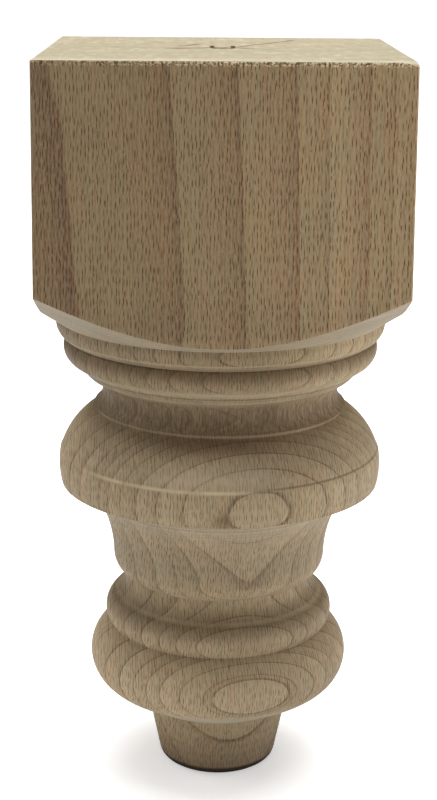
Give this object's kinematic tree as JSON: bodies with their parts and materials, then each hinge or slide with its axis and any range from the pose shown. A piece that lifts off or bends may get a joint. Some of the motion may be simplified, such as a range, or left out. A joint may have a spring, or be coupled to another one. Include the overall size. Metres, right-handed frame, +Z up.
{
  "type": "turned furniture leg",
  "caption": "Turned wooden furniture leg with a square block for fixing under a cabinet or sofa, stacked beads, coves and bulbs, and a small tapered foot.",
  "frame": {"origin": "middle of the foot's underside, on the floor and on the turning axis", "axes": "+Z up along the turning axis from the foot to the block; X and Y square to the block's side faces, and the face seen in the picture looks along -Y"},
  "size_m": [0.09, 0.09, 0.1933],
  "materials": {
    "beech": "unfinished, planed block and sanded turning"
  },
  "bodies": {
    "root": {"turned_leg": "beech"}
  },
  "joints": []
}
